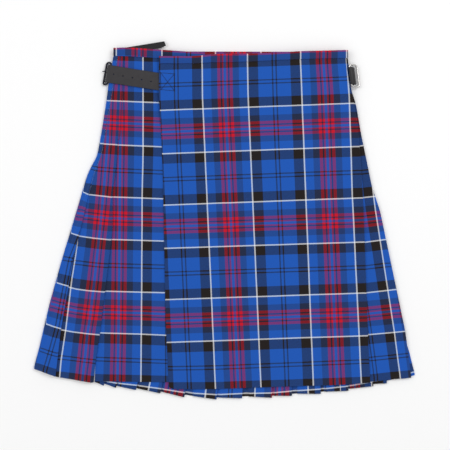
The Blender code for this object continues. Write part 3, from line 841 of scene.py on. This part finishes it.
def tube(name, path, radius, closed):
    """A round bar along a path of (x, y, z), closed in a ring or with rounded ends."""
    points = [Vector(point) for point in path]
    radii = [radius] * len(points)
    if not closed:
        before = (points[0] - points[1]).normalized()
        after = (points[-1] - points[-2]).normalized()
        cap = [(0.98, 0.18), (0.8, 0.6), (0.45, 0.89)]
        heads = [points[0] + before * radius * out for out, part in cap]
        tails = [points[-1] + after * radius * out for out, part in cap]
        points = heads + points + tails[::-1]
        small = [radius * part for out, part in cap]
        radii = small + radii + small[::-1]
    total = len(points)
    up = Vector((0.3, 0.1, 1)).normalized()
    vertices = []
    for index, point in enumerate(points):
        if closed:
            run = points[(index + 1) % total] - points[index - 1]
        else:
            run = points[min(index + 1, total - 1)] - points[max(index - 1, 0)]
        run.normalize()
        side = run.cross(up).normalized()
        rise = side.cross(run).normalized()
        for step in range(BAR_SIDES):
            angle = 2 * math.pi * step / BAR_SIDES
            vertices.append(point + (side * math.cos(angle) + rise * math.sin(angle)) * radii[index])
    return solid(name, vertices, ring_faces(total, BAR_SIDES, closed))


def frame_path(inner, outer, middle_drop, length, corner, lean):
    """Middle line of a frame between its inner and outer bar, each at (x, z)."""
    half = length / 2 - BAR
    start, end = Vector((inner[0], 0, inner[1])), Vector((outer[0], 0, outer[1]))
    direction = (end - start).normalized()
    depth = (end - start).length
    path = []
    for y, s, angle_from in ((half, 0, 180), (half, depth, 90), (-half, depth, 0), (-half, 0, -90)):
        centre_y = y - math.copysign(corner, y)
        centre_s = corner if s == 0 else depth - corner
        for step in range(9):
            angle = math.radians(angle_from - 90 * step / 8)
            y = centre_y + corner * math.sin(angle)
            path.append(start + direction * (centre_s + corner * math.cos(angle))
                        + Vector((-lean * y, WAIST_Y - middle_drop + y, 0)))
    return path


right_path = frame_path((-206.9, 6.0), (-214.6, 3.0), 42.0, 42.4, 3.4, RIGHT_LEAN)
left_path = frame_path((225.2, 9.8), (239.8, 4.2), LEFT_DROP, 43, 5.6, LEFT_LEAN)
prong_path = [(x, WAIST_Y - PRONG_DROP, z) for x, z in curve_through(PRONG, 4)]
right_hip_buckle = tube("right_hip_frame", right_path, BAR, True)
left_hip_buckle = tube("left_hip_frame", left_path, BAR, True)
right_hip_prong = tube("right_hip_tongue", prong_path, PRONG_RADIUS, False)
print("points along each frame:", len(right_path), "and along the prong:", len(prong_path))

# %% [markdown]
# ## Shader arithmetic
# Node trees read best as sums. The small class below wraps an output socket, so that ordinary Python
# operators build the maths nodes. One method adds any other node, and one reads another output of a node.

# %% Shader maths wrapper


class Value:
    """An output socket that builds maths nodes when it is used in arithmetic."""

    def __init__(self, tree, socket):
        self.tree = tree
        self.socket = socket

    def other(self, output):
        """Another output of the same node."""
        return Value(self.tree, self.socket.node.outputs[output])

    def node(self, kind, inputs, output=0, **settings):
        made = self.tree.nodes.new(kind)
        for key, setting in settings.items():
            setattr(made, key, setting)
        for key, source in inputs.items():
            if isinstance(source, Value):
                self.tree.links.new(source.socket, made.inputs[key])
            else:
                made.inputs[key].default_value = source
        return Value(self.tree, made.outputs[output])

    def maths(self, operation, *others):
        return self.node("ShaderNodeMath", dict(enumerate([self, *others])), operation=operation)

    def __add__(self, other):
        return self.maths("ADD", other)

    def __sub__(self, other):
        return self.maths("SUBTRACT", other)

    def __mul__(self, other):
        return self.maths("MULTIPLY", other)

    def __truediv__(self, other):
        return self.maths("DIVIDE", other)

    def __neg__(self):
        return self * -1.0

    def __rsub__(self, other):
        return -self + other

    def __rtruediv__(self, other):
        return self.maths("POWER", -1.0) * other

    __radd__ = __add__
    __rmul__ = __mul__


def new_material(name, **values):
    """A material with a Principled shader whose constant values go straight on its sockets."""
    material = bpy.data.materials.new(name)
    material.use_nodes = True
    shader = material.node_tree.nodes["Principled BSDF"]
    for key, setting in values.items():
        shader.inputs[key.replace("_", " ")].default_value = setting
    return material, material.node_tree, shader


def linear(red, green, blue):
    """A colour of the screen, 0 to 255, as linear light."""
    parts = [value / 255 for value in (red, green, blue)]
    return tuple(((part + 0.055) / 1.055) ** 2.4 if part > 0.04 else part / 12.92 for part in parts) + (1.0,)


print("maths wrapper ready")

# %% [markdown]
# ## Woven pattern
# A tartan is one row of stripes used twice, along and across, and mirrored at both of its pivots. One
# colour ramp holds the half sett, from the black pair to the red group, and a ping-pong of the cut's place
# mirrors it. Warp and weft are mixed by fine diagonals, as in a twill. The dyes are mixed as screen values
# and turned into light after that, because yarns that shade each other look darker than an even mix of
# their light. The ramp's alpha is how much a dye shows against another: white yarn stands out and black
# sinks in.

# %% Tartan
ROUGH_WOOL = 0.88
BLUE = (30, 93, 194, 1.0)
BLACK = (34, 27, 25, 0.8)
NAVY = (36, 60, 112, 0.9)
RED = (216, 14, 44, 0.88)
IVORY = (252, 252, 255, 2.7)
PURPLE = (46, 36, 70, 0.8)
PIVOT = (52, 88, 180, 1.0)
STRIPES = [
    (2.0, BLUE), (2.1, BLACK), (23.7, BLUE), (16.9, BLACK), (2.4, IVORY), (14.3, BLUE), (11.0, NAVY),
    (5.5, RED), (2.6, PURPLE), (3.2, RED), (2.5, PIVOT),
]
STRONGEST = 4.0
TWILL_PITCH = 2.2
TWILL_CONTRAST = 0.26


def stripe_dye(count):
    """The dye at a count of the cut, in millimetres from a black pivot, and how strongly it shows."""
    dye = count.node("ShaderNodeValToRGB", {"Fac": count.maths("PINGPONG", HALF_SETT) / HALF_SETT})
    ramp = dye.socket.node.color_ramp
    ramp.interpolation = "CONSTANT"
    ramp.elements.remove(ramp.elements[1])
    total = sum(width for width, shade in STRIPES)
    start = 0.0
    for width, shade in STRIPES:
        stop = ramp.elements.new(start / total) if start else ramp.elements[0]
        stop.color = (*(value / 255 for value in shade[:3]), shade[3] / STRONGEST)
        start += width
    return dye, dye.other("Alpha")


def tartan_material():
    material, tree, shader = new_material(
        "tartan_wool", Roughness=ROUGH_WOOL, Sheen_Weight=0.08, Sheen_Roughness=0.6, Specular_IOR_Level=0.2)
    uv = tree.nodes.new("ShaderNodeUVMap")
    uv.uv_map = "cut"
    place = Value(tree, uv.outputs["UV"])
    split = place.node("ShaderNodeSeparateXYZ", {"Vector": place})
    wander = place.node("ShaderNodeTexNoise", {"Vector": place, "Scale": 16.0, "Detail": 1.0}) * 0.7 - 0.35
    warp = split * 1000.0 + wander
    weft = split.other("Y") * 1000.0 + wander
    warp_dye, warp_strength = stripe_dye(warp)
    weft_dye, weft_strength = stripe_dye(weft)
    diagonal = ((warp + weft) * (2 * math.pi / TWILL_PITCH)).maths("SINE")
    over = diagonal * TWILL_CONTRAST + 0.5
    warp_part = over * warp_strength
    weft_part = (1.0 - over) * weft_strength
    mixed = {0: warp_part / (warp_part + weft_part), 6: weft_dye, 7: warp_dye}
    colour = place.node("ShaderNodeMix", mixed, 2, data_type="RGBA")
    fibre = place.node("ShaderNodeTexNoise", {"Vector": place, "Scale": 900.0, "Detail": 2.0})
    colour = colour.node("ShaderNodeVectorMath", {0: colour, 3: fibre * 0.24 + 0.785}, operation="SCALE")
    light = colour.node("ShaderNodeGamma", {"Color": colour, "Gamma": 2.2})
    tree.links.new(light.socket, shader.inputs["Base Color"])
    height = diagonal * 0.5 + fibre
    bump = place.node("ShaderNodeBump", {"Height": height, "Strength": 0.25, "Distance": 0.00012})
    tree.links.new(bump.socket, shader.inputs["Normal"])
    return material


tartan = tartan_material()
print("stripes in the half sett:", len(STRIPES))

# %% [markdown]
# ## Leather, metal and thread
# The leather has a fine grain and a cloudy tone, and the strap's is duller than that of the tab and the tail.
# The tab and the tail are the same leather as the strap, painted darker as painted shade: the tab for the
# shade under its buckle's bar, and the tail for its end turning up out of the light. The left buckle of the
# photo is dark plate and the right one bright chrome.

# %% Other materials


def leather_material(name, colour, roughness):
    material, tree, shader = new_material(name, Roughness=roughness, Specular_IOR_Level=0.4)
    place = Value(tree, tree.nodes.new("ShaderNodeTexCoord").outputs["Object"])
    grain = place.node("ShaderNodeTexVoronoi", {"Vector": place, "Scale": 1400.0})
    cloud = place.node("ShaderNodeTexNoise", {"Vector": place, "Scale": 90.0, "Detail": 3.0})
    tone = cloud * 0.5 + grain * 0.15 + 0.65
    shade = place.node("ShaderNodeVectorMath", {0: colour[:3], 3: tone}, operation="SCALE")
    tree.links.new(shade.socket, shader.inputs["Base Color"])
    bump = place.node("ShaderNodeBump", {"Height": grain + cloud * 0.6, "Strength": 0.3, "Distance": 0.0002})
    tree.links.new(bump.socket, shader.inputs["Normal"])
    return material


strap_leather = leather_material("strap_grain", linear(46, 44, 47), 0.62)
# The tab is the strap's grey-brown leather, painted darker as painted shade for the shade under the buckle's
# bar.
tab_leather = leather_material("tab_grain_painted_shade", linear(26, 24, 26), 0.5)
# The tail is the strap's own leather, painted much darker as painted shade for its end turning up out of the
# light.
tail_leather = leather_material("tail_grain_painted_shade", linear(16, 14, 16), 0.36)
chrome, _, _ = new_material("bright_chrome", Base_Color=linear(200, 198, 196), Metallic=1.0, Roughness=0.16)
dark_plate, _, _ = new_material("dark_plate", Base_Color=linear(48, 47, 54), Metallic=1.0, Roughness=0.32)
black_thread, _, _ = new_material("black_thread", Base_Color=linear(12, 14, 30), Roughness=0.8)
print("materials:", len(bpy.data.materials))

# %% [markdown]
# ## Stitches
# The stitches follow paths on the cloth. One geometry node tree sets short thread pieces along any path at
# an even pitch, and takes the pitch, length and thread radius as inputs. The result is turned into a plain
# mesh.

# %% Stitch tree


def stitch_tree(material):
    tree = bpy.data.node_groups.new("stitches_" + material.name, "GeometryNodeTree")
    face = tree.interface
    face.new_socket("Path", in_out="INPUT", socket_type="NodeSocketGeometry")
    for name in ("Pitch", "Length", "Radius"):
        face.new_socket(name, in_out="INPUT", socket_type="NodeSocketFloat")
    face.new_socket("Stitches", in_out="OUTPUT", socket_type="NodeSocketGeometry")
    given = tree.nodes.new("NodeGroupInput")
    path, pitch, length, radius = (Value(tree, given.outputs[index]) for index in range(4))
    curve = path.node("GeometryNodeMeshToCurve", {0: path})
    points = curve.node("GeometryNodeCurveToPoints", {"Curve": curve, "Length": pitch}, mode="LENGTH")
    line_inputs = {"Direction": (0, 0, 1), "Length": length}
    line = length.node("GeometryNodeCurvePrimitiveLine", line_inputs, mode="DIRECTION")
    axis = line.node("GeometryNodeResampleCurve", {"Curve": line, "Count": 4}, mode="COUNT")
    circle_inputs = {"Resolution": 6, "Radius": radius}
    circle = radius.node("GeometryNodeCurvePrimitiveCircle", circle_inputs, mode="RADIUS")
    thread = axis.node("GeometryNodeCurveToMesh", {"Curve": axis, "Profile Curve": circle, "Fill Caps": True})
    offset = length.node("ShaderNodeCombineXYZ", {"Z": length * -0.5})
    centred = thread.node("GeometryNodeTransform", {"Geometry": thread, "Translation": offset})
    laid_inputs = {"Points": points, "Rotation": points.other("Rotation"), "Instance": centred}
    laid = points.node("GeometryNodeInstanceOnPoints", laid_inputs)
    joined = laid.node("GeometryNodeRealizeInstances", {0: laid})
    dyed = joined.node("GeometryNodeSetMaterial", {"Geometry": joined, "Material": material})
    tree.links.new(dyed.socket, tree.nodes.new("NodeGroupOutput").inputs[0])
    return tree


def stitches(name, paths, material, **sizes):
    """Stitches along paths of (x, drop, z), as one plain mesh; sizes are in millimetres."""
    vertices, edges = [], []
    for path in paths:
        start = len(vertices)
        vertices += [(x * MM, (WAIST_Y - drop) * MM, z * MM) for x, drop, z in path]
        edges += [(start + index, start + index + 1) for index in range(len(path) - 1)]
    mesh = bpy.data.meshes.new(name + "_path")
    mesh.from_pydata(vertices, edges, [])
    holder = add_object(name + "_path", mesh)
    modifier = holder.modifiers.new("stitches", "NODES")
    modifier.node_group = stitch_tree(material)
    sockets = {item.name: item.identifier for item in modifier.node_group.interface.items_tree}
    for key, value in sizes.items():
        modifier[sockets[key]] = value * MM
    made = baked(holder)
    bpy.data.objects.remove(holder, do_unlink=True)
    return add_object(name, made)


def over_line(start, end, lift=0.1):
    """A path on the over apron between two places of the photo."""
    points = []
    for part in np.linspace(0, 1, 12):
        x, drop = across(mix(start[0], end[0], part)), down(mix(start[1], end[1], part))
        points.append((x, drop, over_height(x, drop) + CLOTH / 2 + lift))
    return points


BOX = [(160.8, 73.2), (174.6, 74.4), (174.6, 91.2), (161.2, 90)]
box_lines = [over_line(BOX[index], BOX[(index + 1) % 4]) for index in range(4)]
box_lines += [over_line(BOX[0], BOX[2], 0.2), over_line(BOX[1], BOX[3], 0.2)]
strap_box = stitches("strap_box_stitches", box_lines, black_thread, Pitch=2.4, Length=2.0, Radius=0.36)
print("box stitches:", len(strap_box.data.polygons), "faces")

# %% [markdown]
# ## Fitting together
# Every piece rides on the part, takes its material and hides the solids that it stands for.

DRESS = [
    (over_apron, tartan, "tartan", ["over_apron"]),
    (pleated, tartan, "tartan", ["pleated_back"]),
    (under_apron, tartan, "tartan", ["under_apron"]),
    (band_back, tartan, "tartan", ["waistband_back"]),
    (band_under, tartan, "tartan", ["waistband_under_apron"]),
    (band_over, tartan, "tartan", ["waistband_over_apron"]),
    (strap, strap_leather, "leather", ["right_hip_strap"]),
    (tail, tail_leather, "leather", ["right_hip_strap_tail"]),
    (tab, tab_leather, "leather", ["left_hip_tab"]),
    (right_hip_buckle, dark_plate, "dark_metal", ["right_hip_buckle"]),
    (right_hip_prong, dark_plate, "dark_metal", ["right_hip_prong"]),
    (left_hip_buckle, chrome, "chrome", ["left_hip_buckle"]),
]
for piece, material, slot, nodes in DRESS:
    piece.data.materials.clear()
    piece.data.materials.append(material)
    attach(piece, "root")
    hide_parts(*nodes)
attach(strap_box, "root")


# %% [markdown]
# ## Floor, light and camera
# A near-white floor, large soft lights from above and both sides, and a camera straight above at the
# distance that makes the photo's 450 pixels cover 807 mm.

# %% Stage
SHOWN_WIDTH = 0.8073
LENS = 85
SENSOR = 36
FRONT_HEIGHT = 0.006
bpy.ops.mesh.primitive_plane_add(size=12, location=(0, 0, -0.0002))
floor = bpy.context.object
floor.name = "floor"
floor_paint, _, _ = new_material("floor_paint", Base_Color=(0.96, 0.96, 0.96, 1), Roughness=0.9)
floor.data.materials.append(floor_paint)

world = bpy.data.worlds.new("studio")
world.use_nodes = True
background = world.node_tree.nodes["Background"].inputs
background["Color"].default_value = (1, 1, 1, 1)
background["Strength"].default_value = 0.72
bpy.context.scene.world = world


def softbox(name, location, size, power):
    data = bpy.data.lights.new(name, "AREA")
    data.shape = "SQUARE"
    data.size = size
    data.energy = power
    light = add_object(name, data)
    light.location = location
    light.rotation_mode = "QUATERNION"
    light.rotation_quaternion = (-Vector(location)).to_track_quat("-Z", "Y")


softbox("key", (1.6, 1.2, 2.2), 1.2, 23)
softbox("fill", (-1.9, 0.4, 2.0), 1.6, 14)

camera_data = bpy.data.cameras.new("camera")
camera_data.lens = LENS
camera = add_object("camera", camera_data)
camera.location = (0.0009, -0.0085, SHOWN_WIDTH * LENS / SENSOR + FRONT_HEIGHT)
bpy.context.scene.camera = camera
bpy.context.scene.view_settings.view_transform = "Standard"
print("camera height:", round(camera.location.z, 3))
